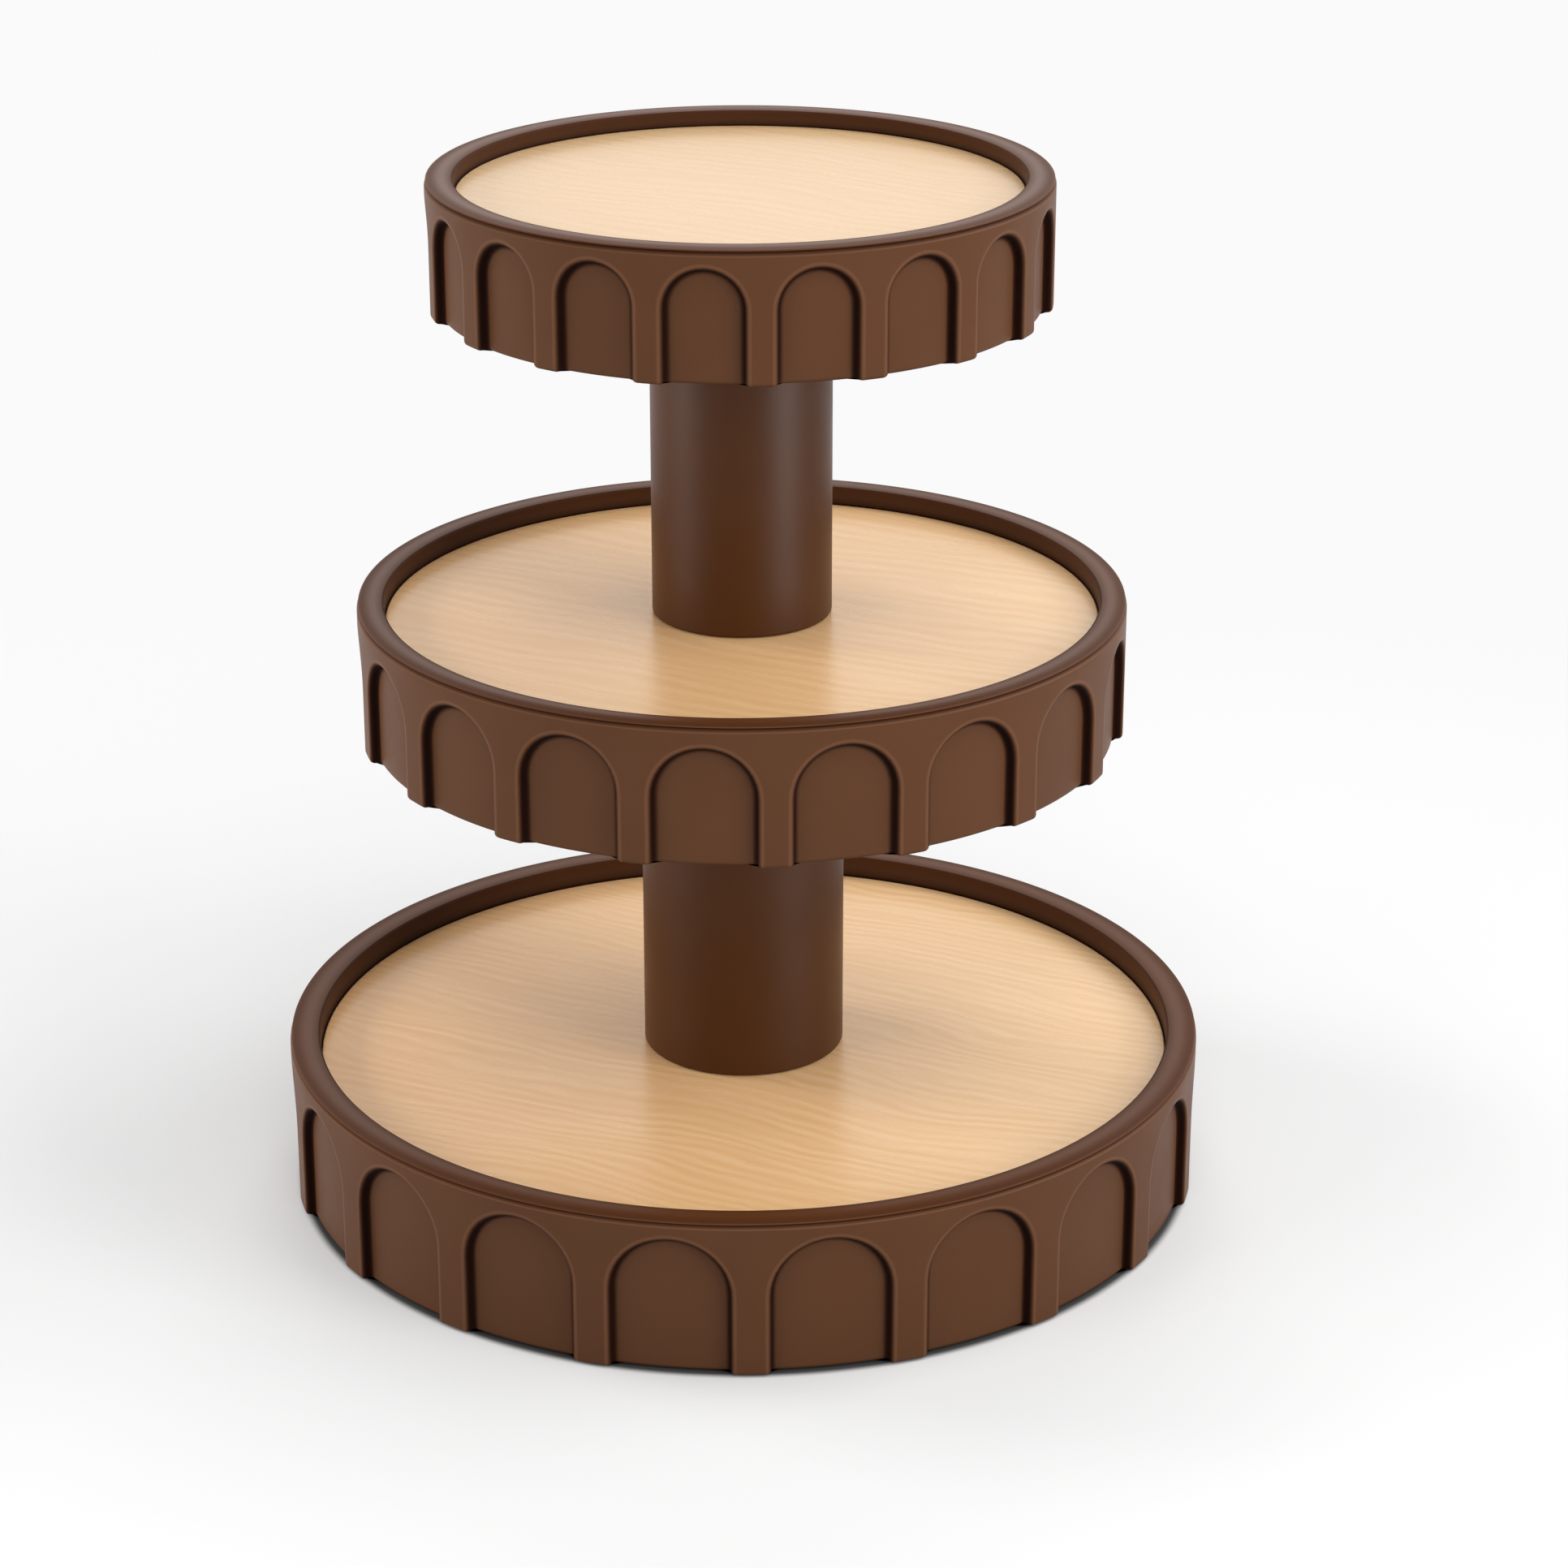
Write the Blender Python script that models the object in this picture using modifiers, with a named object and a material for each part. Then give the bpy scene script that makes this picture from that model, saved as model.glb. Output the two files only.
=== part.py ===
"""Three-tier tabletop stand: arcaded rings on moulded floors, wooden boards, two columns and a tie rod.

Units are metres and +Z is up. The stand rests on z = 0 with its axis on the origin, and its front is -Y.
"""

import math

import bmesh
import bpy
from mathutils import Matrix

# Rings of the trays from the table up: radius over the pilasters, height over all, arches round the skirt
BASE_RADIUS = 0.1500
BASE_HEIGHT = 0.0521
BASE_ARCHES = 19
MIDDLE_RADIUS = 0.1226
MIDDLE_HEIGHT = 0.0454
MIDDLE_ARCHES = 18
TOP_RADIUS = 0.0970
TOP_HEIGHT = 0.0410
TOP_ARCHES = 18

# Where the first pilaster of each ring stands, in degrees from the front towards +X
BASE_TURN_DEGREES = 0.7
MIDDLE_TURN_DEGREES = 4.6
TOP_TURN_DEGREES = 3.6

# Lip of each ring: its width, and how deep the board lies below it
BASE_LIP_WIDTH = 0.0098
BASE_WELL_DEPTH = 0.0080
MIDDLE_LIP_WIDTH = 0.0086
MIDDLE_WELL_DEPTH = 0.0065
TOP_LIP_WIDTH = 0.0089
TOP_WELL_DEPTH = 0.0052
LIP_OUTER_ROUND = 0.0014
LIP_INNER_ROUND = 0.0008
LIP_BAND_HEIGHT = 0.0026
GROOVE_HEIGHT = 0.0012
GROOVE_DEPTH = 0.0006

# Arcade of each ring: pilaster width, and the drop from the lip to the crown of the arches
BASE_PILASTER_WIDTH = 0.0110
BASE_CROWN_DROP = 0.0060
MIDDLE_PILASTER_WIDTH = 0.0096
MIDDLE_CROWN_DROP = 0.0069
TOP_PILASTER_WIDTH = 0.0084
TOP_CROWN_DROP = 0.0056
RECESS_DEPTH = 0.0032
PANEL_WALL = 0.0025

# Moulded floor, its ribs, the ring that takes a column's head, and the finger hole under the top board
FLOOR_THICKNESS = 0.0030
RIB_COUNT = 6
RIB_THICKNESS = 0.0020
RIB_HEIGHT = 0.0060
SOCKET_WALL = 0.0020
SOCKET_HEIGHT = 0.0070
HUB_RADIUS = 0.0120
HUB_HEIGHT = 0.0080
CUP_WALL = 0.0025
CUP_HEADROOM = 0.0010
SPANNER_ROOM = 0.0030
FINGER_HOLE_RADIUS = 0.0080
FINGER_HOLE_OFFSET = 0.0550

# Wooden boards
BOARD_THICKNESS = 0.0050
BOARD_CLEARANCE = 0.0003
BOARD_EDGE = 0.0006

# Columns and the plugs in their feet
LOWER_COLUMN_RADIUS = 0.0329
LOWER_COLUMN_LENGTH = 0.1411
UPPER_COLUMN_RADIUS = 0.0287
UPPER_COLUMN_LENGTH = 0.1281
COLUMN_WALL = 0.0030
COLUMN_EDGE = 0.0006
PLUG_HEIGHT = 0.0120
SPIGOT_RADIUS = 0.0100

# Tie rod with its nuts and washers
ROD_RADIUS = 0.0030
ROD_EDGE = 0.0005
ROD_OVERRUN = 0.0030
NUT_SIDES = 6
NUT_ACROSS_FLATS = 0.0100
NUT_HEIGHT = 0.0050
WASHER_RADIUS = 0.0060
WASHER_THICKNESS = 0.0016

# Rubber pads and the posts that carry them, and how far the base skirt stays off the table
PAD_COUNT = 6
PAD_RADIUS = 0.0060
PAD_THICKNESS = 0.0022
PAD_EDGE = 0.0004
PAD_MARGIN = 0.0013
FOOT_CLEARANCE = 0.0006

# Gaps between pieces that touch, the bite of shapes that are joined, and the overrun of every cut
SEAT_GAP = 0.0003
FIT_GAP = 0.0003
JOIN_BITE = 0.0010
CUT_OVERRUN = 0.0020

# Facet counts
FACETS_PER_ARCH = 3
ARCH_CROWN_SEGMENTS = 10
BOARD_FACETS = 54
COLUMN_FACETS = 40
PLUG_FACETS = 24
ROD_FACETS = 16
ROUND_SEGMENTS = 2
SHARP_ANGLE_DEGREES = 35.0
AXIS_MERGE = 0.00001

# Colours as linear red, green, blue, then roughness and metallic value
BROWN_PLASTIC = ((0.105, 0.046, 0.024), 0.42, 0.0)
DARK_PLASTIC = ((0.085, 0.034, 0.016), 0.40, 0.0)
PALE_WOOD = ((0.780, 0.560, 0.350), 0.48, 0.0)
ZINC_STEEL = ((0.560, 0.570, 0.580), 0.32, 1.0)
GREY_RUBBER = ((0.045, 0.045, 0.048), 0.80, 0.0)

HALF_TURN = math.pi
QUARTER_TURN = math.pi / 2
FULL_TURN = math.tau


def clear_scene():
    """Remove every object and give back the collections for the parts and for their cutters."""
    for item in list(bpy.data.objects):
        bpy.data.objects.remove(item, do_unlink=True)
    collections = []
    for name in ("etagere", "etagere_cutters"):
        collection = bpy.data.collections.new(name)
        bpy.context.scene.collection.children.link(collection)
        collections.append(collection)
    return collections


PARTS, CUTTERS = clear_scene()


def make_material(name, finish):
    """Principled material from a colour, a roughness and a metallic value."""
    colour, roughness, metallic = finish
    material = bpy.data.materials.new(name)
    material.use_nodes = True
    shader = material.node_tree.nodes["Principled BSDF"]
    shader.inputs["Base Color"].default_value = (*colour, 1)
    shader.inputs["Roughness"].default_value = roughness
    shader.inputs["Metallic"].default_value = metallic
    material.diffuse_color = (*colour, 1)
    return material


def add_part(name, mesh, finish, height):
    """Put a mesh in the parts collection, at a height on the stand's axis."""
    part = bpy.data.objects.new(name, mesh)
    part.location.z = height
    mesh.materials.append(make_material(name, finish))
    PARTS.objects.link(part)
    return part


def add_cutter(name, mesh, carrier):
    """Put a mesh in the cutters collection, in the frame of the part that it shapes."""
    cutter = bpy.data.objects.new(name, mesh)
    cutter.parent = carrier
    cutter.hide_render = True
    cutter.display_type = "WIRE"
    CUTTERS.objects.link(cutter)
    return cutter


def profile_mesh(name, points, closed):
    """Edges along a profile of (radius, height) points in the XZ plane."""
    mesh = bpy.data.meshes.new(name)
    edges = [(index, index + 1) for index in range(len(points) - 1)]
    if closed:
        edges.append((len(points) - 1, 0))
    mesh.from_pydata([(radius, 0, height) for radius, height in points], edges, [])
    return mesh


def turn_profile(item, facets):
    """Turn an object's profile about its Z axis."""
    screw = item.modifiers.new("Turn", "SCREW")
    screw.axis = "Z"
    screw.angle = FULL_TURN
    screw.steps = facets
    screw.render_steps = facets
    screw.use_merge_vertices = True
    screw.merge_threshold = AXIS_MERGE
    screw.use_smooth_shade = True


def combine(part, cutter, operation):
    """Cut or join a part with another mesh."""
    boolean = part.modifiers.new(cutter.name, "BOOLEAN")
    boolean.operation = operation
    boolean.solver = "EXACT"
    boolean.object = cutter


def corner(centre_radius, centre_height, size, first_degrees, last_degrees):
    """Points of a rounded corner, from one direction to another, anticlockwise from outwards."""
    points = []
    for step in range(ROUND_SEGMENTS + 1):
        share = step / ROUND_SEGMENTS
        angle = math.radians(first_degrees + share * (last_degrees - first_degrees))
        points.append((centre_radius + size * math.cos(angle), centre_height + size * math.sin(angle)))
    return points


def round_bar(name, radius, low, high, edge, facets, finish):
    """Solid round bar or disc on the axis, with a small chamfer at both ends."""
    length = high - low
    points = [
        (0, length),
        (radius - edge, length),
        (radius, length - edge),
        (radius, edge),
        (radius - edge, 0),
        (0, 0),
    ]
    part = add_part(name, profile_mesh(name, points, closed=False), finish, low)
    turn_profile(part, facets)
    return part


def add_washer(name, height, bore):
    """Flat washer round the tie rod."""
    points = [(bore, WASHER_THICKNESS), (WASHER_RADIUS, WASHER_THICKNESS), (WASHER_RADIUS, 0), (bore, 0)]
    part = add_part(name, profile_mesh(name, points, closed=True), ZINC_STEEL, height)
    turn_profile(part, ROD_FACETS)


def copies_round_axis(name, source, count, first_angle):
    """One mesh with turned copies of another round the Z axis."""
    shape = bmesh.new()
    for index in range(count):
        start = len(shape.verts)
        shape.from_mesh(source)
        shape.verts.ensure_lookup_table()
        turn = Matrix.Rotation(first_angle + index * FULL_TURN / count, 4, "Z")
        bmesh.ops.transform(shape, matrix=turn, verts=shape.verts[start:])
    mesh = bpy.data.meshes.new(name)
    shape.to_mesh(mesh)
    shape.free()
    bpy.data.meshes.remove(source)
    return mesh


def box_mesh(name, low, high):
    """Box between two corners."""
    shape = bmesh.new()
    size = [upper - lower for lower, upper in zip(low, high)]
    middle = [(upper + lower) / 2 for lower, upper in zip(low, high)]
    bmesh.ops.create_cube(shape, size=1, matrix=Matrix.Translation(middle) @ Matrix.Diagonal((*size, 1)))
    mesh = bpy.data.meshes.new(name)
    shape.to_mesh(mesh)
    shape.free()
    return mesh


def cylinder_mesh(name, radius, low, high, facets, offset=0):
    """Upright cylinder, with its axis a distance out along +X."""
    shape = bmesh.new()
    place = Matrix.Translation((offset, 0, (low + high) / 2))
    bmesh.ops.create_cone(shape, cap_ends=True, segments=facets, radius1=radius, radius2=radius,
                          depth=high - low, matrix=place)
    mesh = bpy.data.meshes.new(name)
    shape.to_mesh(mesh)
    shape.free()
    return mesh


def outline_mesh(name, outline, near, far):
    """Upright outline of (x, z) points, extruded between two distances towards -Y."""
    curve = bpy.data.curves.new(name, "CURVE")
    curve.dimensions = "2D"
    curve.fill_mode = "BOTH"
    curve.extrude = (far - near) / 2
    spline = curve.splines.new("POLY")
    spline.points.add(len(outline) - 1)
    for point, (across, up) in zip(spline.points, outline):
        point.co = (across, up, 0, 1)
    spline.use_cyclic_u = True
    guide = bpy.data.objects.new(name, curve)
    CUTTERS.objects.link(guide)
    mesh = bpy.data.meshes.new_from_object(guide.evaluated_get(bpy.context.evaluated_depsgraph_get()))
    bpy.data.objects.remove(guide, do_unlink=True)
    bpy.data.curves.remove(curve)
    shape = bmesh.new()
    shape.from_mesh(mesh)
    bmesh.ops.remove_doubles(shape, verts=shape.verts, dist=AXIS_MERGE)
    upright = Matrix.Translation((0, -(near + far) / 2, 0)) @ Matrix.Rotation(QUARTER_TURN, 4, "X")
    bmesh.ops.transform(shape, matrix=upright, verts=shape.verts)
    bmesh.ops.recalc_face_normals(shape, faces=shape.faces)
    shape.to_mesh(mesh)
    shape.free()
    return mesh


class Tray:
    """Heights and radii of one tray, worked out from its own driving sizes."""

    def __init__(self, name, radius, height, arches, turn_degrees, lip_width, well_depth,
                 pilaster_width, crown_drop, top):
        self.name = name
        self.radius = radius
        self.height = height
        self.arches = arches
        self.turn = math.radians(turn_degrees) - QUARTER_TURN
        self.facets = arches * FACETS_PER_ARCH
        self.well_radius = radius - lip_width
        self.panel_radius = radius - RECESS_DEPTH
        self.skirt_inner = self.panel_radius - PANEL_WALL
        self.floor_radius = self.skirt_inner * math.cos(math.pi / self.facets) - FIT_GAP
        self.pilaster_width = pilaster_width
        self.crown = height - crown_drop
        self.top = top
        self.bottom = top - height
        self.board_top = height - well_depth
        self.board_bottom = self.board_top - BOARD_THICKNESS
        self.floor_top = self.board_bottom - SEAT_GAP
        self.floor_bottom = self.floor_top - FLOOR_THICKNESS

    def world(self, height):
        """Height above the table of a height above the tray's own underside."""
        return self.bottom + height

    def ring_profile(self):
        """Up the well's wall, over the lip, down the skirt, and up inside to the seat on the floor."""
        lip_top = self.height
        band_low = lip_top - LIP_BAND_HEIGHT
        points = [(self.well_radius, self.board_bottom)]
        inner = LIP_INNER_ROUND
        outer = LIP_OUTER_ROUND
        points += corner(self.well_radius + inner, lip_top - inner, inner, 180, 90)
        points += corner(self.radius - outer, lip_top - outer, outer, 90, 0)
        points += [
            (self.radius, band_low),
            (self.radius - GROOVE_DEPTH, band_low - GROOVE_HEIGHT / 2),
            (self.radius, band_low - GROOVE_HEIGHT),
            (self.radius, 0),
            (self.skirt_inner, 0),
            (self.skirt_inner, self.board_bottom),
        ]
        return points


def floor_drop(well_depth):
    """From a tray's lip down to the underside of its floor."""
    return well_depth + BOARD_THICKNESS + SEAT_GAP + FLOOR_THICKNESS


def arch_outline(tray, half_width):
    """Round-headed arch of (x, z) points, open past the tray's lower edge."""
    spring = tray.crown - half_width
    points = [(-half_width, -CUT_OVERRUN)]
    for step in range(ARCH_CROWN_SEGMENTS + 1):
        angle = HALF_TURN * (1 - step / ARCH_CROWN_SEGMENTS)
        points.append((half_width * math.cos(angle), spring + half_width * math.sin(angle)))
    points.append((half_width, -CUT_OVERRUN))
    return points


def cut_arcade(tray, part):
    """Recess the arches into the skirt, down to the panel that closes them."""
    half_angle = math.pi / tray.arches - tray.pilaster_width / 2 / tray.radius
    half_width = tray.radius * math.sin(half_angle)
    near = tray.panel_radius * math.cos(half_angle) - CUT_OVERRUN
    arch = outline_mesh("arch", arch_outline(tray, half_width), near, tray.radius + CUT_OVERRUN)
    first = QUARTER_TURN + math.pi / tray.arches
    arcade = add_cutter(f"{part.name}_arcade", copies_round_axis("arcade", arch, tray.arches, first), part)
    core_low = -2 * CUT_OVERRUN
    core_points = [
        (0, tray.height),
        (tray.panel_radius, tray.height),
        (tray.panel_radius, core_low),
        (0, core_low),
    ]
    core = add_cutter(f"{part.name}_core", profile_mesh("core", core_points, closed=False), part)
    turn_profile(core, tray.facets)
    combine(arcade, core, "DIFFERENCE")
    combine(part, arcade, "DIFFERENCE")


def add_ribs(tray, part, hub_radius):
    """Radial ribs under a floor, from its hub or socket ring out to its edge."""
    rib = box_mesh(
        "rib",
        (hub_radius - JOIN_BITE, -RIB_THICKNESS / 2, tray.floor_bottom - RIB_HEIGHT),
        (tray.floor_radius - JOIN_BITE, RIB_THICKNESS / 2, tray.floor_bottom + JOIN_BITE),
    )
    ribs = add_cutter(f"{part.name}_ribs", copies_round_axis("ribs", rib, RIB_COUNT, 0), part)
    combine(part, ribs, "UNION")


def add_ring(tray):
    """Ring moulding: lip and skirt turned in one, with the arcade cut into the skirt."""
    name = f"{tray.name}_ring"
    part = add_part(name, profile_mesh(name, tray.ring_profile(), closed=True), BROWN_PLASTIC, tray.bottom)
    part.rotation_euler.z = tray.turn
    turn_profile(part, tray.facets)
    cut_arcade(tray, part)


def add_floor(tray, middle_profile, hub_radius):
    """Floor moulding that carries the board and the ring: a ribbed disc with what its middle needs."""
    name = f"{tray.name}_floor"
    rim = [(tray.floor_radius, tray.floor_top), (tray.floor_radius, tray.floor_bottom)]
    mesh = profile_mesh(name, rim + middle_profile, closed=True)
    part = add_part(name, mesh, BROWN_PLASTIC, tray.bottom)
    turn_profile(part, BOARD_FACETS)
    add_ribs(tray, part, hub_radius)
    return part


def socket_profile(tray, column_radius):
    """Down and up round the ring that takes a column's head, from outside to inside."""
    inner = column_radius + FIT_GAP
    outer = inner + SOCKET_WALL
    low = tray.floor_bottom - SOCKET_HEIGHT
    return [(outer, tray.floor_bottom), (outer, low), (inner, low), (inner, tray.floor_bottom)]


def hub_profile(tray, bore):
    """Boss under the floor that the lower nut clamps, with the rod's hole through it."""
    low = tray.floor_bottom - HUB_HEIGHT
    return [(HUB_RADIUS, tray.floor_bottom), (HUB_RADIUS, low), (bore, low), (bore, tray.floor_top)]


def cup_profile(tray, bore, cup_depth):
    """Cup sunk below the floor that holds the upper nut, with the rod's hole through its bottom."""
    cup_radius = nut_corner_radius() + SPANNER_ROOM
    outer = cup_radius + CUP_WALL
    cup_floor = tray.floor_top - cup_depth
    low = cup_floor - FLOOR_THICKNESS
    return [
        (outer, tray.floor_bottom),
        (outer, low),
        (bore, low),
        (bore, cup_floor),
        (cup_radius, cup_floor),
        (cup_radius, tray.floor_top),
    ]


def nut_corner_radius():
    """From a nut's axis to its corners."""
    return NUT_ACROSS_FLATS / 2 / math.cos(math.pi / NUT_SIDES)


def add_board(tray, hole_radius):
    """Wooden disc in a tray's well, with a hole for a plug's spigot where a column stands on it."""
    name = f"{tray.name}_board"
    radius = tray.well_radius * math.cos(math.pi / tray.facets) - BOARD_CLEARANCE
    points = [
        (hole_radius, BOARD_THICKNESS),
        (radius - BOARD_EDGE, BOARD_THICKNESS),
        (radius, BOARD_THICKNESS - BOARD_EDGE),
        (radius, BOARD_EDGE),
        (radius - BOARD_EDGE, 0),
        (hole_radius, 0),
    ]
    mesh = profile_mesh(name, points, closed=hole_radius > 0)
    part = add_part(name, mesh, PALE_WOOD, tray.world(tray.board_bottom))
    turn_profile(part, BOARD_FACETS)


def add_column(name, radius, bottom, length):
    """Tube that stands on a board and carries the tray above it."""
    inner = radius - COLUMN_WALL
    points = [
        (inner, length),
        (radius, length),
        (radius, COLUMN_EDGE),
        (radius - COLUMN_EDGE, 0),
        (inner, 0),
    ]
    part = add_part(name, profile_mesh(name, points, closed=True), DARK_PLASTIC, bottom)
    turn_profile(part, COLUMN_FACETS)


def add_plug(name, column_radius, tray, bore):
    """Disc in a column's foot, whose spigot passes through the board and centres the column on the rod."""
    outer = column_radius - COLUMN_WALL - FIT_GAP
    low = tray.floor_top + SEAT_GAP
    shoulder = tray.board_top + SEAT_GAP - low
    top = shoulder + PLUG_HEIGHT
    points = [
        (bore, top),
        (outer, top),
        (outer, shoulder),
        (SPIGOT_RADIUS, shoulder),
        (SPIGOT_RADIUS, 0),
        (bore, 0),
    ]
    part = add_part(name, profile_mesh(name, points, closed=True), DARK_PLASTIC, tray.world(low))
    turn_profile(part, PLUG_FACETS)


def add_nut(name, height, bore):
    """Hexagon nut with its thread as a plain bore."""
    body = cylinder_mesh(name, nut_corner_radius(), 0, NUT_HEIGHT, NUT_SIDES)
    part = add_part(name, body, ZINC_STEEL, height)
    hole = cylinder_mesh("hole", bore, -CUT_OVERRUN, NUT_HEIGHT + CUT_OVERRUN, ROD_FACETS)
    combine(part, add_cutter(f"{name}_bore", hole, part), "DIFFERENCE")


def add_pad_posts(tray, part, post_circle):
    """Posts under the base floor that carry the rubber pads, midway between the ribs."""
    low = PAD_THICKNESS + SEAT_GAP - tray.bottom
    high = tray.floor_bottom + JOIN_BITE
    post = cylinder_mesh("post", PAD_RADIUS + PAD_MARGIN, low, high, ROD_FACETS, post_circle)
    mesh = copies_round_axis("posts", post, PAD_COUNT, math.pi / PAD_COUNT)
    posts = add_cutter(f"{part.name}_posts", mesh, part)
    combine(part, posts, "UNION")


def add_pads(post_circle):
    """Rubber pads, the only pieces that touch the table."""
    for index in range(PAD_COUNT):
        angle = (index + 0.5) * FULL_TURN / PAD_COUNT
        name = f"foot_pad_{index + 1}"
        pad = round_bar(name, PAD_RADIUS, 0, PAD_THICKNESS, PAD_EDGE, ROD_FACETS, GREY_RUBBER)
        pad.location.x = post_circle * math.cos(angle)
        pad.location.y = post_circle * math.sin(angle)


def settle_and_shade():
    """Make each part's finished shape its mesh, and shade it smooth up to its sharp edges."""
    depsgraph = bpy.context.evaluated_depsgraph_get()
    shapes = [bpy.data.meshes.new_from_object(part.evaluated_get(depsgraph)) for part in PARTS.objects]
    for part, mesh in zip(PARTS.objects, shapes):
        part.modifiers.clear()
        part.data = mesh
        mesh.shade_smooth()
        mesh.set_sharp_from_angle(angle=math.radians(SHARP_ANGLE_DEGREES))


def parent_to_origin():
    """Hang every part from one empty at the middle of the footprint."""
    origin = bpy.data.objects.new("etagere_origin", None)
    for part in list(PARTS.objects):
        part.parent = origin
    PARTS.objects.link(origin)


def build():
    """Stack the stand from the table up."""
    rod_bore = ROD_RADIUS + FIT_GAP
    cup_depth = SEAT_GAP + WASHER_THICKNESS + SEAT_GAP + NUT_HEIGHT + ROD_OVERRUN + CUP_HEADROOM

    base = Tray("base", BASE_RADIUS, BASE_HEIGHT, BASE_ARCHES, BASE_TURN_DEGREES, BASE_LIP_WIDTH,
                BASE_WELL_DEPTH, BASE_PILASTER_WIDTH, BASE_CROWN_DROP, FOOT_CLEARANCE + BASE_HEIGHT)
    lower_foot = base.world(base.board_top) + SEAT_GAP
    middle_top = lower_foot + LOWER_COLUMN_LENGTH + SEAT_GAP + floor_drop(MIDDLE_WELL_DEPTH)
    middle = Tray("middle", MIDDLE_RADIUS, MIDDLE_HEIGHT, MIDDLE_ARCHES, MIDDLE_TURN_DEGREES,
                  MIDDLE_LIP_WIDTH, MIDDLE_WELL_DEPTH, MIDDLE_PILASTER_WIDTH, MIDDLE_CROWN_DROP, middle_top)
    upper_foot = middle.world(middle.board_top) + SEAT_GAP
    top_top = upper_foot + UPPER_COLUMN_LENGTH + SEAT_GAP + floor_drop(TOP_WELL_DEPTH)
    top = Tray("top", TOP_RADIUS, TOP_HEIGHT, TOP_ARCHES, TOP_TURN_DEGREES, TOP_LIP_WIDTH,
               TOP_WELL_DEPTH, TOP_PILASTER_WIDTH, TOP_CROWN_DROP, top_top)

    for tray in (base, middle, top):
        add_ring(tray)

    base_floor = add_floor(base, hub_profile(base, rod_bore), HUB_RADIUS)
    post_circle = base.floor_radius - PAD_RADIUS - PAD_MARGIN
    add_pad_posts(base, base_floor, post_circle)
    add_pads(post_circle)

    lower_socket = socket_profile(middle, LOWER_COLUMN_RADIUS)
    plain_hole = [(rod_bore, middle.floor_bottom), (rod_bore, middle.floor_top)]
    add_floor(middle, lower_socket + plain_hole, lower_socket[0][0])

    upper_socket = socket_profile(top, UPPER_COLUMN_RADIUS)
    top_floor = add_floor(top, upper_socket + cup_profile(top, rod_bore, cup_depth), upper_socket[0][0])
    finger_hole = cylinder_mesh("hole", FINGER_HOLE_RADIUS, top.floor_bottom - CUT_OVERRUN,
                                top.floor_top + CUT_OVERRUN, PLUG_FACETS, FINGER_HOLE_OFFSET)
    finger_cutter = add_cutter("top_floor_finger_hole", finger_hole, top_floor)
    finger_cutter.rotation_euler.z = QUARTER_TURN
    combine(top_floor, finger_cutter, "DIFFERENCE")

    add_board(base, SPIGOT_RADIUS + FIT_GAP)
    add_board(middle, SPIGOT_RADIUS + FIT_GAP)
    add_board(top, 0)

    add_column("lower_column", LOWER_COLUMN_RADIUS, lower_foot, LOWER_COLUMN_LENGTH)
    add_column("upper_column", UPPER_COLUMN_RADIUS, upper_foot, UPPER_COLUMN_LENGTH)
    add_plug("lower_column_plug", LOWER_COLUMN_RADIUS, base, rod_bore)
    add_plug("upper_column_plug", UPPER_COLUMN_RADIUS, middle, rod_bore)

    hub_low = base.world(base.floor_bottom) - HUB_HEIGHT
    lower_washer_low = hub_low - SEAT_GAP - WASHER_THICKNESS
    lower_nut_low = lower_washer_low - SEAT_GAP - NUT_HEIGHT
    upper_washer_low = top.world(top.floor_top) - cup_depth + SEAT_GAP
    upper_nut_low = upper_washer_low + WASHER_THICKNESS + SEAT_GAP
    add_washer("lower_washer", lower_washer_low, rod_bore)
    add_washer("upper_washer", upper_washer_low, rod_bore)
    add_nut("lower_nut", lower_nut_low, rod_bore)
    add_nut("upper_nut", upper_nut_low, rod_bore)
    rod_low = lower_nut_low - ROD_OVERRUN
    rod_high = upper_nut_low + NUT_HEIGHT + ROD_OVERRUN
    round_bar("tie_rod", ROD_RADIUS, rod_low, rod_high, ROD_EDGE, ROD_FACETS, ZINC_STEEL)

    settle_and_shade()
    parent_to_origin()


build()
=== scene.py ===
"""Looks of the three-tier stand: arcaded rings, wooden boards, columns, and what carries them.

Units are metres and +Z is up. The stand rests on z = 0 with its axis on the origin, and its front is -Y.
"""

import math
from collections import namedtuple

import bmesh
import bpy
from mathutils import Euler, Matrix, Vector


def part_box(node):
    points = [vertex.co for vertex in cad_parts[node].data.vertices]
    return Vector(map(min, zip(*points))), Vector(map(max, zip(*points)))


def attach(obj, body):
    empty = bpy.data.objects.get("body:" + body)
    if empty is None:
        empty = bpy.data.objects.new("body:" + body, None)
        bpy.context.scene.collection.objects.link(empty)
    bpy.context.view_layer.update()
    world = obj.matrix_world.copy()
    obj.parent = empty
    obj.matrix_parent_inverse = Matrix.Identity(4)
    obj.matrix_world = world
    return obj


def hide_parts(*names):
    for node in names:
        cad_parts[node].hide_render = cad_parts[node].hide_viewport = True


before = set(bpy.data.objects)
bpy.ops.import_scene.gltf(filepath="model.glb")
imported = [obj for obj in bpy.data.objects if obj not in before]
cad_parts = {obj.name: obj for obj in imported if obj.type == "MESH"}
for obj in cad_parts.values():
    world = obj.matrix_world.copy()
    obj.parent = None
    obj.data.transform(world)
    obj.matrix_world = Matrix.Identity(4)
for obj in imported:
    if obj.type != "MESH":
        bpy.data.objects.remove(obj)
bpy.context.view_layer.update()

FULL_TURN = math.tau
QUARTER_TURN = math.pi / 2

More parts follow.
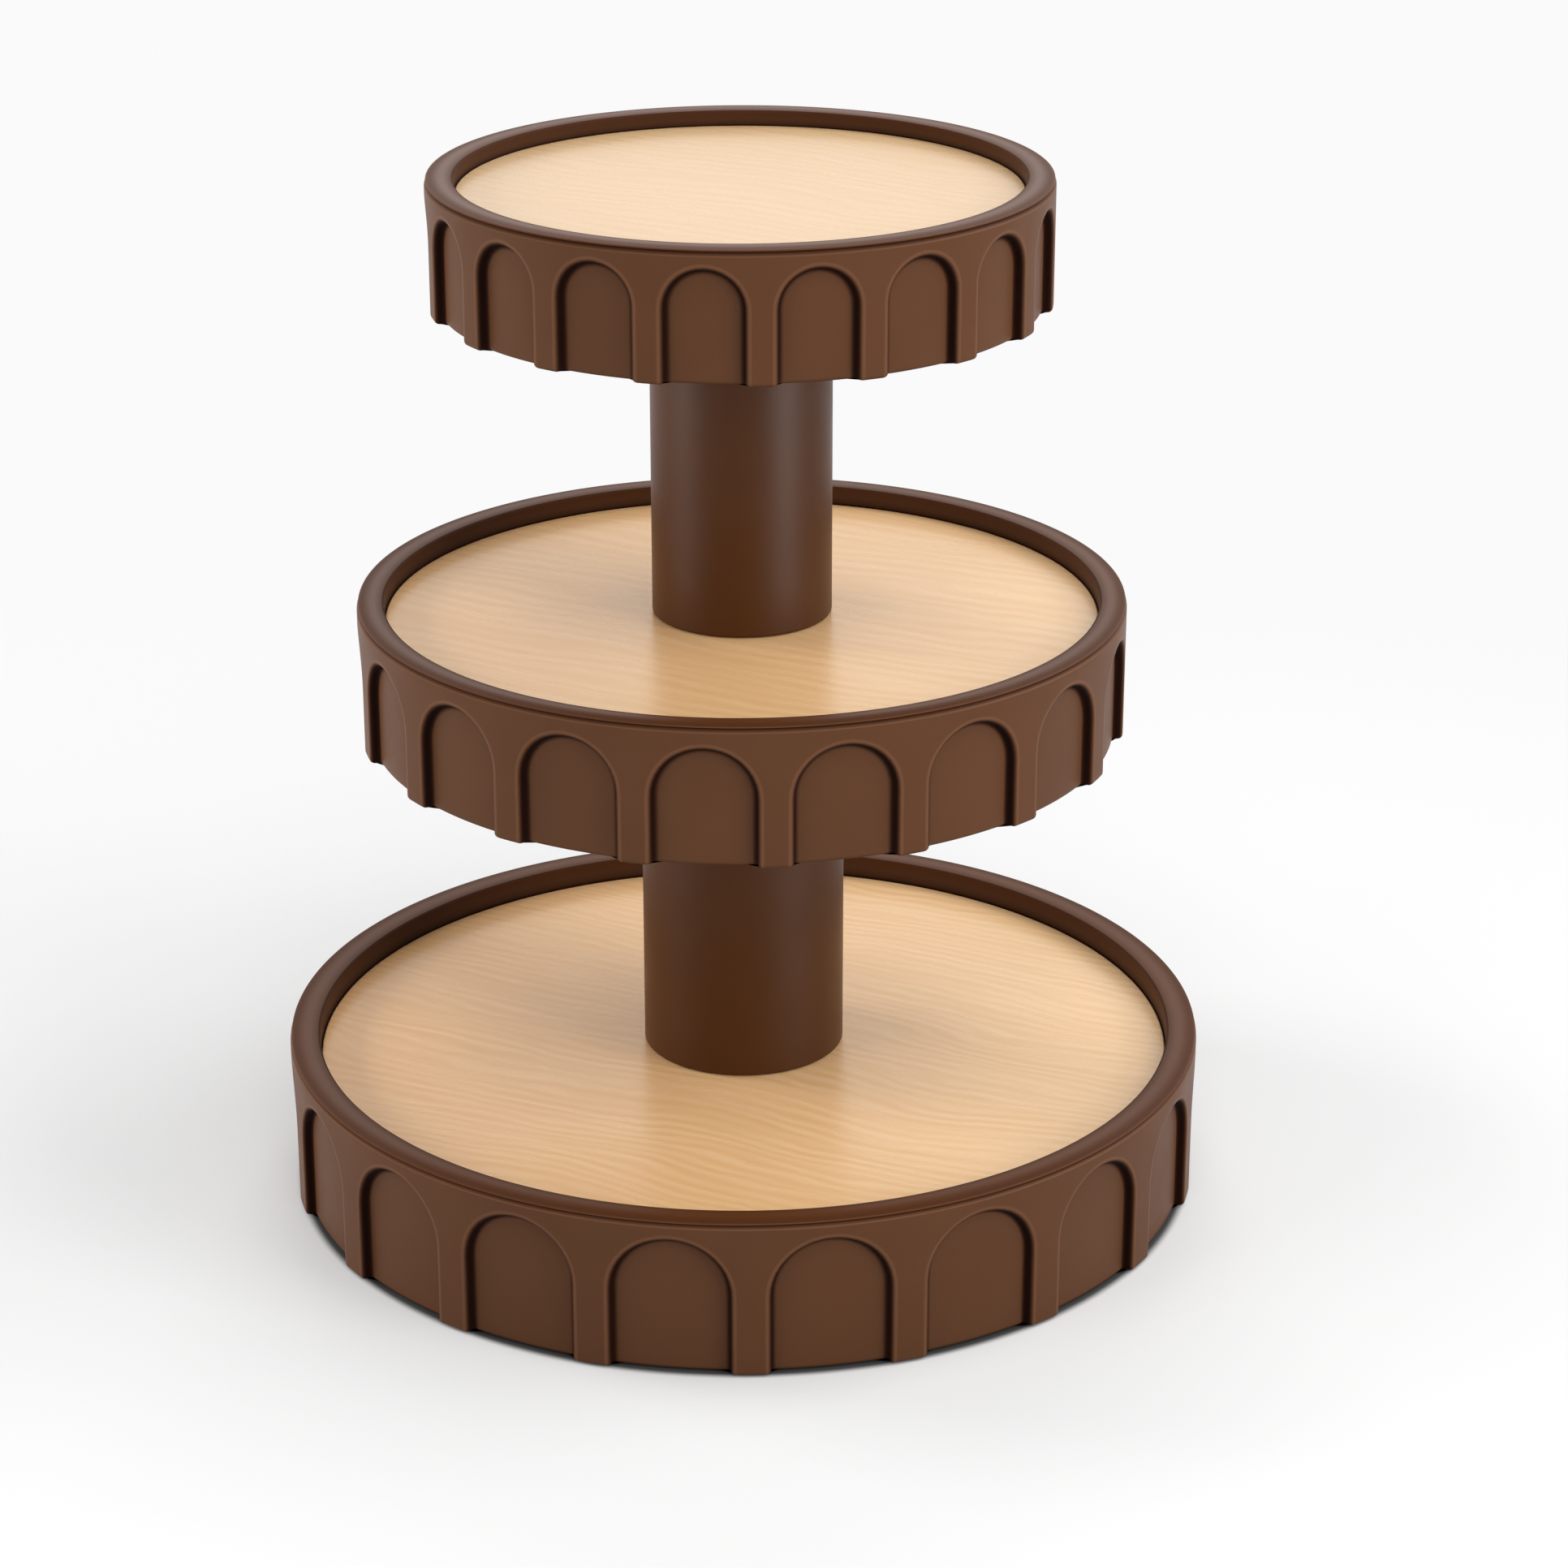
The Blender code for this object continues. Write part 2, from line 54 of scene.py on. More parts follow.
# Sizes that the rings, boards and columns share with their solids
Ring = namedtuple("Ring", "radius arches turn_degrees lip_width well_depth pilaster_width crown_drop")
RINGS = {
    "base": Ring(0.1500, 19, 0.7, 0.0098, 0.0080, 0.0110, 0.0060),
    "middle": Ring(0.1226, 18, 4.6, 0.0086, 0.0065, 0.0096, 0.0069),
    "top": Ring(0.0970, 18, 3.6, 0.0089, 0.0052, 0.0084, 0.0056),
}
RECESS_DEPTH = 0.0032
PANEL_WALL = 0.0025
BOARD_THICKNESS = 0.0050
BOARD_CLEARANCE = 0.0003
COLUMN_WALL = 0.0030
SPIGOT_CLEARANCE = 0.0003
SPIGOT_RADIUS = 0.0100

# The columns from below, and how many pads the stand rests on
COLUMNS = ("lower", "upper")
PAD_COUNT = 6

# Small shapes of the rings: the arches' walls stand a little inside their sharp outline in the solids
WALL_INSET = 0.0010
# How far the painted highlight on an arch's edge fades in across the flat beside its round
PAINTED_HIGHLIGHT_WIDTH = 0.0005
EDGE_ROUND = 0.0019
RECESS_FILLET = 0.0011
SHADE_WIDTH = 0.0008
FOOT_ROUND = 0.0015
INNER_FOOT_ROUND = 0.0006
LIP_CROWN = 0.0003
LIP_INSET = 0.0004
LIP_OUTER_ROUND = 0.0004
LIP_INNER_ROUND = 0.0008
COVE_TOP = 0.0007
COVE_HEIGHT = 0.0017
COVE_DEPTH = 0.0012

# Edges of the boards and columns
BOARD_EDGE = 0.0005
COLUMN_EDGE = 0.0009

# Painted shade in the recess and a painted highlight on its edge, along the edge's round, the fillet and the
# panel's border
ROUND_SHADES = (0.0, 0.05, 0.35, 0.75, 1.0, 1.0, 1.0)
ROUND_PAINTED_HIGHLIGHTS = (0.5, 0.6, 0.2, 0.0, 0.0, 0.0, 0.0)
FILLET_SHADES = (1.0, 1.0, 0.9, 0.6)
BORDER_SHADES = (0.2, 0.0)
# Painted shade at the skirt's foot, darkest at the floor
FOOT_SHADE = 0.9
# The cove under the lip from below: share of its height, share of its depth, painted shade, painted highlight
COVE_SHAPE = (
    (0.05, 0.03, 0.0, 0.6),
    (0.14, 0.14, 0.0, 0.6),
    (0.28, 0.38, 0.1, 0.2),
    (0.48, 0.72, 0.4, 0.0),
    (0.68, 0.94, 0.7, 0.0),
    (0.84, 1.00, 0.8, 0.0),
    (0.95, 0.80, 0.6, 0.0),
    (1.00, 0.33, 0.3, 0.0),
)
# Painted shade on the lip's rounds, and on its crown between them
OUTER_ROUND_SHADES = (0.2, 0.1, 0.1, 0.1, 0.15, 0.2, 0.25)
CROWN_SHADES = (0.35, 0.3, 0.2, 0.1, 0.0, 0.0, 0.0, 0.1, 0.2)
INNER_ROUND_SHADES = (0.3, 0.6, 0.7, 0.6, 0.6, 0.5, 0.5)
# The well's wall from the lip down to the board: share of its height, painted shade, darkest at the board
WELL_SHADES = ((0.5, 0.4), (0.16, 0.6), (0.0, 1.0))

# Steps of the meshes, and how much those of the outer wall crowd towards the arch
OUTER_STEPS = 2
OUTER_CROWDING = 0.8
LEG_STEPS = 6
SIDE_STEPS = 5
TOP_STEPS = 16
PANEL_STEPS = 12
FOOT_STEPS = 4
INNER_FOOT_STEPS = 3
ROUND_STEPS = 6
LOWER_EDGE_STEPS = 3
EDGE_STEPS = 4
TURN_STEPS = 192

# From which angle an edge is sharp, which points are on the axis, and which ones are the same
SHARP_DEGREES = 34
AXIS_REACH = 1e-7
MERGE_REACH = 2e-6


# Meshes


def new_object(name, data):
    item = bpy.data.objects.new(name, data)
    bpy.context.scene.collection.objects.link(item)
    return item


def finish_mesh(shape, name):
    """Mesh from a bmesh, smooth apart from its sharp edges."""
    bmesh.ops.recalc_face_normals(shape, faces=shape.faces)
    mesh = bpy.data.meshes.new(name)
    shape.to_mesh(mesh)
    shape.free()
    mesh.shade_smooth()
    mesh.set_sharp_from_angle(angle=math.radians(SHARP_DEGREES))
    return mesh


def weigh_normals(item):
    """Let the large faces set the shading, so that the rounds read as rounds."""
    weighted = item.modifiers.new("Weighted", "WEIGHTED_NORMAL")
    weighted.keep_sharp = True


def arc(centre, size, first_degrees, last_degrees, steps):
    """Points of an arc in (radius, height)."""
    points = []
    for step in range(steps + 1):
        angle = math.radians(first_degrees + (last_degrees - first_degrees) * step / steps)
        points.append((centre[0] + size * math.cos(angle), centre[1] + size * math.sin(angle)))
    return points


def add_face(shape, *corners):
    """Face between corners, of which two that coincide count once."""
    corners = list(dict.fromkeys(corners))
    if len(corners) > 2:
        shape.faces.new(corners)


def join(shape, lower, upper):
    """Faces between two rings of as many corners."""
    for step in range(len(lower)):
        follow = (step + 1) % len(lower)
        add_face(shape, lower[step], lower[follow], upper[follow], upper[step])


def stitch(shape, first, second):
    """Triangles between two rings of different counts that start at the same angle."""
    one, two = 0, 0
    while one < len(first) or two < len(second):
        step_first = two >= len(second) or (one < len(first) and one / len(first) <= two / len(second))
        a = first[one % len(first)]
        b = second[two % len(second)]
        if step_first:
            one += 1
            shape.faces.new((a, first[one % len(first)], b))
        else:
            two += 1
            shape.faces.new((a, second[two % len(second)], b))


def turned(name, profile, closed=True):
    """Solid of revolution from a profile of (radius, height) points."""
    shape = bmesh.new()
    rings = []
    for radius, height in profile:
        if radius < AXIS_REACH:
            rings.append([shape.verts.new((0, 0, height))] * TURN_STEPS)
            continue
        ring = []
        for step in range(TURN_STEPS):
            angle = FULL_TURN * step / TURN_STEPS
            ring.append(shape.verts.new((radius * math.cos(angle), radius * math.sin(angle), height)))
        rings.append(ring)
    for lower, upper in zip(rings, rings[1:]):
        join(shape, lower, upper)
    if closed:
        join(shape, rings[-1], rings[0])
    return finish_mesh(shape, name)


class Bay:
    """One arch of a ring and the wall round it, as a grid that the next bay meets edge to edge."""

    def __init__(self, name):
        low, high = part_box(f"{name}_ring")
        ring = RINGS[name]
        self.low = low.z
        self.height = high.z - low.z
        self.radius = ring.radius
        self.arches = ring.arches
        self.half_angle = math.pi / ring.arches
        self.first = math.radians(ring.turn_degrees) - QUARTER_TURN + self.half_angle
        self.well_radius = ring.radius - ring.lip_width
        self.seat = self.height - ring.well_depth - BOARD_THICKNESS
        self.inner = ring.radius - RECESS_DEPTH - PANEL_WALL
        pilaster_angle = ring.pilaster_width / 2 / ring.radius
        self.half_width = ring.radius * math.sin(self.half_angle - pilaster_angle) - WALL_INSET
        self.spring = self.height - ring.crown_drop - WALL_INSET - self.half_width
        self.wall_top = self.height - COVE_TOP - COVE_HEIGHT
        self.profile = self.make_profile()
        self.stations = self.make_stations()

    def make_profile(self):
        """Across the arch's edge: (offset outwards, depth, normal across, normal in depth, painted shade,
        painted highlight).
        """
        rows = [(EDGE_ROUND + PAINTED_HIGHLIGHT_WIDTH, 0, 0, -1, 0, 0)]
        last = len(ROUND_SHADES) - 1
        for step, (shade, painted_highlight) in enumerate(zip(ROUND_SHADES, ROUND_PAINTED_HIGHLIGHTS)):
            angle = QUARTER_TURN * step / last
            rows.append((EDGE_ROUND * (1 - math.sin(angle)), EDGE_ROUND * (1 - math.cos(angle)),
                         -math.sin(angle), -math.cos(angle), shade, painted_highlight))
        wall_end = RECESS_DEPTH - RECESS_FILLET
        for step, shade in enumerate(FILLET_SHADES):
            angle = QUARTER_TURN * (step + 1) / len(FILLET_SHADES)
            rows.append((RECESS_FILLET * (math.cos(angle) - 1), wall_end + RECESS_FILLET * math.sin(angle),
                         -math.cos(angle), -math.sin(angle), shade, 0))
        for step, shade in enumerate(BORDER_SHADES):
            border = SHADE_WIDTH * (step + 1) / len(BORDER_SHADES)
            rows.append((-RECESS_FILLET - border, RECESS_DEPTH, 0, -1, shade, 0))
        return rows

    def make_stations(self):
        """From the arch's left foot: (x, z, direction x, direction z, inset, border angle, border z)."""
        stations = []
        side = self.half_angle
        for step in range(FOOT_STEPS + 1):
            angle = QUARTER_TURN * step / FOOT_STEPS
            z = FOOT_ROUND * (1 - math.cos(angle))
            stations.append((-self.half_width, z, -1, 0, FOOT_ROUND * (1 - math.sin(angle)), -side, z))
        for step in range(1, LEG_STEPS + 1):
            z = FOOT_ROUND + (self.spring - FOOT_ROUND) * step / LEG_STEPS
            stations.append((-self.half_width, z, -1, 0, 0, -side, z))
        rise = self.wall_top - self.spring
        corner = math.atan2(rise, -self.radius * math.sin(side))
        for step in range(1, SIDE_STEPS + 1):
            angle = math.pi + (corner - math.pi) * step / SIDE_STEPS
            stations.append(self.crown_station(angle, -side, self.spring + rise * step / SIDE_STEPS))
        for step in range(1, TOP_STEPS // 2 + 1):
            share = step / TOP_STEPS
            angle = corner + (math.pi - 2 * corner) * share
            stations.append(self.crown_station(angle, side * (2 * share - 1), self.wall_top))
        for x, z, across, up, inset, angle, border_z in reversed(stations[:-1]):
            stations.append((-x, z, -across, up, inset, -angle, border_z))
        return stations

    def crown_station(self, angle, border_angle, border_z):
        across, up = math.cos(angle), math.sin(angle)
        x, z = self.half_width * across, self.spring + self.half_width * up
        return (x, z, across, up, 0, border_angle, border_z)

    def place(self, x, z, rho):
        """Point at a distance across the bay, a height and a distance from the axis."""
        return Vector((x, -math.sqrt(rho * rho - x * x), self.low + z))

    def wall_rows(self):
        """Wall, arch's edge and panel's border: a row of (point, painted shade, painted highlight) for each
        station.
        """
        rows = []
        reach = EDGE_ROUND + PAINTED_HIGHLIGHT_WIDTH
        for x, z, across, up, inset, border_angle, border_z in self.stations:
            row = []
            rho = self.radius - inset
            foot = FOOT_SHADE * inset / FOOT_ROUND
            border_x = rho * math.sin(border_angle)
            start_x, start_z = x + reach * across, z + reach * up
            for step in range(OUTER_STEPS):
                share = (step / OUTER_STEPS) ** OUTER_CROWDING
                point = self.place(border_x + (start_x - border_x) * share,
                                   border_z + (start_z - border_z) * share, rho)
                row.append((point, foot, 0))
            for offset, depth, normal_across, normal_depth, shade, painted_highlight in self.profile:
                offset -= inset * normal_across
                depth -= inset * normal_depth
                point = self.place(x + offset * across, z + offset * up, self.radius - depth)
                row.append((point, max(shade, foot), painted_highlight))
            rows.append(row)
        return rows

    def panel_rows(self):
        """The panel inside its border, from the foot up: rows of (point, shade)."""
        rows = []
        reach = RECESS_FILLET + SHADE_WIDTH
        for x, z, across, up, inset, _, _ in self.stations[:len(self.stations) // 2]:
            edge_x, edge_z = x - reach * across, z - reach * up
            rho = self.radius - RECESS_DEPTH - inset
            foot = FOOT_SHADE * inset / FOOT_ROUND
            rows.append([(self.place(edge_x * (1 - 2 * step / PANEL_STEPS), edge_z, rho), foot)
                         for step in range(1, PANEL_STEPS)])
        return rows

    def lip_profile(self):
        """From the wall's top over cove and lip, down the well: (radius, height, painted shade, painted
        highlight, lip mark).
        """
        points = []
        for share, depth, shade, painted_highlight in COVE_SHAPE:
            height = self.wall_top + COVE_HEIGHT * share
            points.append((self.radius - COVE_DEPTH * depth, height, shade, painted_highlight, 0))
        shoulder = self.height - LIP_CROWN
        outer_centre = (self.radius - LIP_INSET - LIP_OUTER_ROUND, shoulder - LIP_OUTER_ROUND)
        outer_round = arc(outer_centre, LIP_OUTER_ROUND, 0, 90, ROUND_STEPS)
        inner_centre = (self.well_radius + LIP_INNER_ROUND, shoulder - LIP_INNER_ROUND)
        inner_round = arc(inner_centre, LIP_INNER_ROUND, 90, 180, ROUND_STEPS)
        start, end = outer_round[-1][0], inner_round[0][0]
        crown = []
        for step in range(1, len(CROWN_SHADES) + 1):
            share = step / (len(CROWN_SHADES) + 1)
            height = shoulder + LIP_CROWN * math.sin(math.pi * share)
            crown.append((start + (end - start) * share, height))
        shades = OUTER_ROUND_SHADES + CROWN_SHADES + INNER_ROUND_SHADES
        for (radius, height), shade in zip(outer_round + crown + inner_round, shades):
            points.append((radius, height, shade, 0, 1))
        drop = shoulder - LIP_INNER_ROUND - self.seat - BOARD_THICKNESS
        for share, shade in WELL_SHADES:
            points.append((self.well_radius, self.seat + BOARD_THICKNESS + drop * share, shade, 0, 0))
        points.append((self.well_radius, self.seat, 1, 0, 0))
        return points


class RingShape:
    """Closed mesh of a ring: arcaded wall, cove, crowned lip, well wall, seat and inner wall.

    Its corners carry three marks for the material: painted shade (in the recesses, the cove, on the lip, in
    the well and at the foot), painted highlight (on the arches' edges and under the cove), and being on the
    lip.
    """

    def __init__(self, name):
        self.name = name
        self.bay = Bay(name)
        self.shape = bmesh.new()
        self.painted_shade = self.shape.verts.layers.float.new("painted_shade")
        self.painted_highlight = self.shape.verts.layers.float.new("painted_highlight")
        self.lip = self.shape.verts.layers.float.new("lip")
        self.feet = []
        self.crests = []

    def corner(self, point, turn, shade=0, painted_highlight=0):
        """Corner of a bay, turned about the axis by an angle that is given as cosine and sine."""
        cosine, sine = turn
        place = (point.x * cosine - point.y * sine, point.x * sine + point.y * cosine, point.z)
        corner = self.shape.verts.new(place)
        corner[self.painted_shade] = shade
        corner[self.painted_highlight] = painted_highlight
        return corner

    def add_bay(self, index, rows, panel):
        angle = self.bay.first + QUARTER_TURN + FULL_TURN * index / self.bay.arches
        turn = (math.cos(angle), math.sin(angle))
        grid = [[self.corner(point, turn, shade, painted_highlight) for point, shade, painted_highlight in row] for row in rows]
        for left, right in zip(grid, grid[1:]):
            for step in range(len(left) - 1):
                add_face(self.shape, left[step], left[step + 1], right[step + 1], right[step])
        last = len(grid) - 1
        lines = []
        for row, points in enumerate(panel):
            inside = [self.corner(point, turn, shade) for point, shade in points]
            lines.append([grid[row][-1]] + inside + [grid[last - row][-1]])
        lines.append([grid[last // 2][-1]] * (PANEL_STEPS + 1))
        for lower, upper in zip(lines, lines[1:]):
            for step in range(PANEL_STEPS):
                add_face(self.shape, lower[step], lower[step + 1], upper[step + 1], upper[step])
        self.feet += (grid[0] + lines[0][1:-1] + grid[last][::-1])[:-1]
        first_top = FOOT_STEPS + LEG_STEPS + SIDE_STEPS
        self.crests += [grid[first_top + step][0] for step in range(TOP_STEPS)]

    def loop(self, radius, height, others):
        """Ring of corners at the angles of another ring."""
        ring = []
        for other in others:
            angle = math.atan2(other.co.y, other.co.x)
            place = (radius * math.cos(angle), radius * math.sin(angle), self.bay.low + height)
            ring.append(self.shape.verts.new(place))
        return ring

    def add_lip(self):
        """Cove, lip and the well's wall; returns the ring at the seat."""
        previous = self.crests
        for radius, height, shade, painted_highlight, lip in self.bay.lip_profile():
            current = self.loop(radius, height, self.crests)
            for corner in current:
                corner[self.painted_shade] = shade
                corner[self.painted_highlight] = painted_highlight
                corner[self.lip] = lip
            join(self.shape, previous, current)
            previous = current
        return previous

    def add_inner_wall(self):
        """Underside, rounded inner foot and inner wall; returns the ring at the seat."""
        bay = self.bay
        spread = len(self.feet) // bay.arches
        edge = bay.inner + INNER_FOOT_ROUND
        low_ring = []
        for index in range(len(self.feet)):
            share = (index % spread) / spread
            angle = bay.first - bay.half_angle + FULL_TURN / bay.arches * (index // spread + share)
            low_ring.append(self.shape.verts.new((edge * math.cos(angle), edge * math.sin(angle), bay.low)))
        join(self.shape, self.feet, low_ring)
        inner_foot = arc((edge, INNER_FOOT_ROUND), INNER_FOOT_ROUND, 270, 180, INNER_FOOT_STEPS)
        previous = low_ring
        for radius, height in inner_foot[1:] + [(bay.inner, bay.seat)]:
            current = self.loop(radius, height, low_ring)
            join(self.shape, previous, current)
            previous = current
        return previous

    def mesh(self):
        rows = self.bay.wall_rows()
        panel = self.bay.panel_rows()
        for index in range(self.bay.arches):
            self.add_bay(index, rows, panel)
        well_foot = self.add_lip()
        stitch(self.shape, self.add_inner_wall(), well_foot)
        bmesh.ops.remove_doubles(self.shape, verts=self.shape.verts, dist=MERGE_REACH)
        return finish_mesh(self.shape, f"{self.name}_ring_moulding")


# Materials

# How far the plastic's roughness wanders, and how rough it is where shade is painted
GLOSS_SPREAD = 0.03
PAINTED_SHADE_ROUGHNESS = 0.9

# How much of each colour the wood's darker lines lose, and its gloss
WOOD_FALL = (0.6, 1.15, 2.2)
WOOD_GLOSS = 0.36
# How far its lines wander sideways, in long bends and in short ripples
GRAIN_BEND = 0.006
GRAIN_RIPPLE = 0.0014
# How many streaks go with a line, how much fibres and broad patches show, and how far out the painted shade
# towards the left changes
STREAKS_PER_LINE = 1.6
FIBRE_SHARE = 0.08
BROAD_SHARE = 0.2
SIDE_SHADE_REACH = 0.13
# How far the wave turns over a metre at a scale of 1, in radians
WAVE_RADIANS = 20


def shader_of(name):
    material = bpy.data.materials.new(name)
    material.use_nodes = True
    return material, material.node_tree, material.node_tree.nodes["Principled BSDF"]


def coordinates(tree, scale=(1, 1, 1)):
    source = tree.nodes.new("ShaderNodeTexCoord")
    mapping = tree.nodes.new("ShaderNodeMapping")
    mapping.inputs["Scale"].default_value = scale
    tree.links.new(source.outputs["Object"], mapping.inputs["Vector"])
    return mapping.outputs["Vector"]


def noise(tree, vector, scale, detail, roughness=0.5):
    node = tree.nodes.new("ShaderNodeTexNoise")
    node.inputs["Scale"].default_value = scale
    node.inputs["Detail"].default_value = detail
    node.inputs["Roughness"].default_value = roughness
    tree.links.new(vector, node.inputs["Vector"])
    return node.outputs["Fac"]


def remap(tree, value, low, high, start=0.3, end=0.7, curve="LINEAR"):
    """Low up to the start and high from the end, with a line or curve between them."""
    node = tree.nodes.new("ShaderNodeMapRange")
    node.interpolation_type = curve
    node.inputs["From Min"].default_value = start
    node.inputs["From Max"].default_value = end
    node.inputs["To Min"].default_value = low
    node.inputs["To Max"].default_value = high
    tree.links.new(value, node.inputs["Value"])
    return node.outputs["Result"]


def mix_colour(tree, factor, first, second, blend="MIX"):
    node = tree.nodes.new("ShaderNodeMix")
    node.data_type = "RGBA"
    node.blend_type = blend
    for socket, value in ((6, first), (7, second)):
        if isinstance(value, tuple):
            node.inputs[socket].default_value = (*value, 1)
        else:
            tree.links.new(value, node.inputs[socket])
    if isinstance(factor, float):
        node.inputs[0].default_value = factor
    else:
        tree.links.new(factor, node.inputs[0])
    return node.outputs[2]


def mix_value(tree, factor, first, second):
    node = tree.nodes.new("ShaderNodeMix")
    node.data_type = "FLOAT"
    tree.links.new(factor, node.inputs[0])
    tree.links.new(first, node.inputs[2])
    node.inputs[3].default_value = second
    return node.outputs[0]


def mark_of(tree, name):
    node = tree.nodes.new("ShaderNodeAttribute")
    node.attribute_name = name
    return node.outputs["Fac"]


def add_bump(tree, shader, height, strength, distance):
    bump = tree.nodes.new("ShaderNodeBump")
    bump.inputs["Strength"].default_value = strength
    bump.inputs["Distance"].default_value = distance
    tree.links.new(height, bump.inputs["Height"])
    tree.links.new(bump.outputs["Normal"], shader.inputs["Normal"])


def plastic(name, colour, dark, rough, level, painted_shade=None, painted_highlight=None, lip=None, lip_rough=None):
    """Satin moulded plastic: faint mottling, uneven gloss and a very fine moulded grain, with painted shade
    and a painted highlight where they are marked.
    """
    material, tree, shader = shader_of(name)
    flow = coordinates(tree)
    patches = noise(tree, flow, scale=28, detail=3)
    paint = mix_colour(tree, remap(tree, patches, 0.0, 1.0), dark, colour)
    gloss = noise(tree, flow, scale=60, detail=3, roughness=0.6)
    gloss = remap(tree, gloss, rough - GLOSS_SPREAD, rough + GLOSS_SPREAD)
    # The lip has its own colour and a smoother gloss: the gloss is a polished lip, and the colour is partly
    # the lip's own and partly painted light, set for how light falls on its top
    if lip:
        on_lip = mark_of(tree, "lip")
        paint = mix_colour(tree, on_lip, paint, lip)
        gloss = mix_value(tree, on_lip, gloss, lip_rough)
    # Painted shade: near black and rough where the shade mark is; painted highlight: a lighter brown where
    # the highlight mark is
    if painted_shade:
        painted_shade_mark = mark_of(tree, "painted_shade")
        paint = mix_colour(tree, mark_of(tree, "painted_highlight"), paint, painted_highlight)
        paint = mix_colour(tree, painted_shade_mark, paint, painted_shade)
        gloss = mix_value(tree, painted_shade_mark, gloss, PAINTED_SHADE_ROUGHNESS)
    tree.links.new(paint, shader.inputs["Base Color"])
    tree.links.new(gloss, shader.inputs["Roughness"])
    shader.inputs["Specular IOR Level"].default_value = level
    grain = noise(tree, flow, scale=1400, detail=3, roughness=0.6)
    add_bump(tree, shader, grain, strength=0.10, distance=0.00012)
    return material


def along_grain(tree, flow, along, across, detail=1, roughness=0.5):
    """Noise that is drawn out along the grain."""
    mapping = tree.nodes.new("ShaderNodeMapping")
    mapping.inputs["Scale"].default_value = (along, across, across)
    tree.links.new(flow, mapping.inputs["Vector"])
    return noise(tree, mapping.outputs["Vector"], 1, detail, roughness)


def wandering(tree, flow):
    """The grain's coordinates, pushed sideways so that its lines bend."""
    bend = remap(tree, along_grain(tree, flow, along=9, across=15), -GRAIN_BEND, GRAIN_BEND)
    ripple = remap(tree, along_grain(tree, flow, along=36, across=75), -GRAIN_RIPPLE, GRAIN_RIPPLE)
    total = tree.nodes.new("ShaderNodeMath")
    tree.links.new(bend, total.inputs[0])
    tree.links.new(ripple, total.inputs[1])
    offset = tree.nodes.new("ShaderNodeCombineXYZ")
    tree.links.new(total.outputs[0], offset.inputs["Y"])
    moved = tree.nodes.new("ShaderNodeVectorMath")
    tree.links.new(flow, moved.inputs[0])
    tree.links.new(offset.outputs[0], moved.inputs[1])
    return moved.outputs[0]


def wood(name, colour, left, grain_degrees, lines_per_metre, strength, shift):
    """Pale lacquered wood: wavy lines that come and go along the grain, and painted shade towards the left,
    darker and warmer there.
    """
    material, tree, shader = shader_of(name)
    source = tree.nodes.new("ShaderNodeTexCoord")
    mapping = tree.nodes.new("ShaderNodeMapping")
    mapping.inputs["Rotation"].default_value = (0, 0, math.radians(-grain_degrees))
    mapping.inputs["Location"].default_value = shift
    tree.links.new(source.outputs["Object"], mapping.inputs["Vector"])
    flow = mapping.outputs["Vector"]
    warped = wandering(tree, flow)

    lines = tree.nodes.new("ShaderNodeTexWave")
    lines.bands_direction = "Y"
    lines.inputs["Scale"].default_value = lines_per_metre * FULL_TURN / WAVE_RADIANS
    tree.links.new(warped, lines.inputs["Vector"])
    power = remap(tree, along_grain(tree, flow, along=28, across=90), 0.15, 1.0)
    streak_scale = lines_per_metre * STREAKS_PER_LINE
    streaks = along_grain(tree, warped, along=20, across=streak_scale, detail=2, roughness=0.6)
    fibres = along_grain(tree, warped, along=60, across=1500, detail=2)
    broad = along_grain(tree, flow, along=7, across=20)

    low = tuple(part * (1 - strength * fall) for part, fall in zip(colour, WOOD_FALL))
    high = tuple(part * (1 + strength * fall) for part, fall in zip(colour, WOOD_FALL))
    ruled = mix_colour(tree, lines.outputs["Fac"], low, high)
    plain = mix_colour(tree, remap(tree, streaks, 0.0, 1.0), low, high)
    tone = mix_colour(tree, power, plain, ruled)
    fibre_tone = mix_colour(tree, remap(tree, fibres, 0.0, 1.0), low, high)
    tone = mix_colour(tree, FIBRE_SHARE, tone, fibre_tone)
    broad_tone = mix_colour(tree, remap(tree, broad, 0.0, 1.0), low, high)
    tone = mix_colour(tree, BROAD_SHARE, tone, broad_tone)
    # Painted shade: the board turns darker and warmer towards the left, where less light falls on it
    split = tree.nodes.new("ShaderNodeSeparateXYZ")
    tree.links.new(source.outputs["Object"], split.inputs[0])
    side = remap(tree, split.outputs["X"], 0.0, 1.0, -SIDE_SHADE_REACH, SIDE_SHADE_REACH)
    painted_side_shade = mix_colour(tree, side, left, (1.0, 1.0, 1.0))
    tone = mix_colour(tree, 1.0, tone, painted_side_shade, "MULTIPLY")
    tree.links.new(tone, shader.inputs["Base Color"])
    tree.links.new(remap(tree, streaks, 0.31, 0.25, 0.2, 0.8), shader.inputs["Roughness"])
    shader.inputs["Specular IOR Level"].default_value = WOOD_GLOSS
    add_bump(tree, shader, fibres, strength=0.03, distance=0.0002)
    return material


def metal(name):
    """Zinc-plated steel with fine marks."""
    material, tree, shader = shader_of(name)
    flow = coordinates(tree, (1, 1, 6))
    marks = noise(tree, flow, scale=220, detail=3, roughness=0.6)
    paint = mix_colour(tree, marks, (0.46, 0.47, 0.49), (0.64, 0.65, 0.66))
    tree.links.new(paint, shader.inputs["Base Color"])
    tree.links.new(remap(tree, marks, 0.24, 0.42), shader.inputs["Roughness"])
    shader.inputs["Metallic"].default_value = 1.0
    add_bump(tree, shader, marks, strength=0.15, distance=0.0001)
    return material


